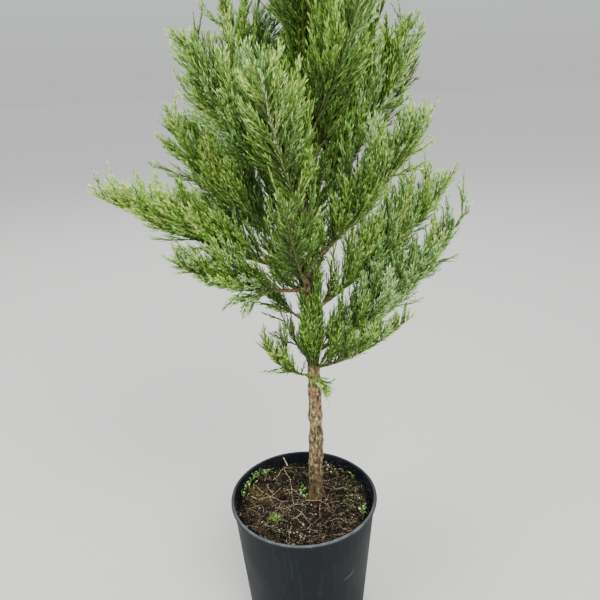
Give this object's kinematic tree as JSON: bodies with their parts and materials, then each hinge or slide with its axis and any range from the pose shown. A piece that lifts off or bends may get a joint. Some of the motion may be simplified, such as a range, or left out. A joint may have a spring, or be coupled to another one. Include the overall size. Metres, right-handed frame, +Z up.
{
  "type": "potted young giant redwood",
  "caption": "Young evergreen conifer in a round plastic nursery pot, with a bare lower trunk, upswept boughs and a feathery crown of cord-like shoots.",
  "frame": {"origin": "middle of the flat underside of the pot", "axes": "+Z up along the trunk; -Y towards the side that the picture shows; +X to that view's right"},
  "size_m": [0.3854, 0.2484, 0.9127],
  "materials": {
    "pot_plastic": "moulded recycled polypropylene, bluish charcoal, satin with dusty scuffs",
    "potting_mix": "dark damp bark and peat crumbs with dead twigs on top",
    "trunk_bark": "soft fibrous bark, tan and cinnamon, flaking in small plates",
    "bough_bark": "thin young bark, tan brown turning green towards the shoots",
    "foliage": "short awl needles close along cord-like shoots, mid green with yellow-green tips"
  },
  "bodies": {
    "root": {"bough_back_left": "bough_bark", "bough_crown_01": "bough_bark", "bough_crown_02": "bough_bark", "bough_crown_03": "bough_bark", "bough_crown_04": "bough_bark", "bough_crown_05": "bough_bark", "bough_crown_06": "bough_bark", "bough_crown_07": "bough_bark", "bough_crown_08": "bough_bark", "bough_crown_09": "bough_bark", "bough_crown_10": "bough_bark", "bough_crown_11": "bough_bark", "bough_front_drooping": "bough_bark", "bough_left_long": "bough_bark", "bough_left_low": "bough_bark", "bough_left_middle": "bough_bark", "bough_left_small": "bough_bark", "bough_left_top": "bough_bark", "bough_left_upper": "bough_bark", "bough_left_upright": "bough_bark", "bough_right_long": "bough_bark", "bough_right_low": "bough_bark", "bough_right_middle": "bough_bark", "bough_right_second": "bough_bark", "bough_right_top": "bough_bark", "bough_right_upper": "bough_bark", "foliage_back_left": "foliage", "foliage_crown_01": "foliage", "foliage_crown_02": "foliage", "foliage_crown_03": "foliage", "foliage_crown_04": "foliage", "foliage_crown_05": "foliage", "foliage_crown_06": "foliage", "foliage_crown_07": "foliage", "foliage_crown_08": "foliage", "foliage_crown_09": "foliage", "foliage_crown_10": "foliage", "foliage_crown_11": "foliage", "foliage_front_drooping": "foliage", "foliage_leader": "foliage", "foliage_left_long": "foliage", "foliage_left_low": "foliage", "foliage_left_middle": "foliage", "foliage_left_small": "foliage", "foliage_left_top": "foliage", "foliage_left_upper": "foliage", "foliage_left_upright": "foliage", "foliage_right_long": "foliage", "foliage_right_low": "foliage", "foliage_right_middle": "foliage", "foliage_right_second": "foliage", "foliage_right_top": "foliage", "foliage_right_upper": "foliage", "pot": "pot_plastic", "potting_mix": "potting_mix", "trunk": "trunk_bark"}
  },
  "joints": []
}
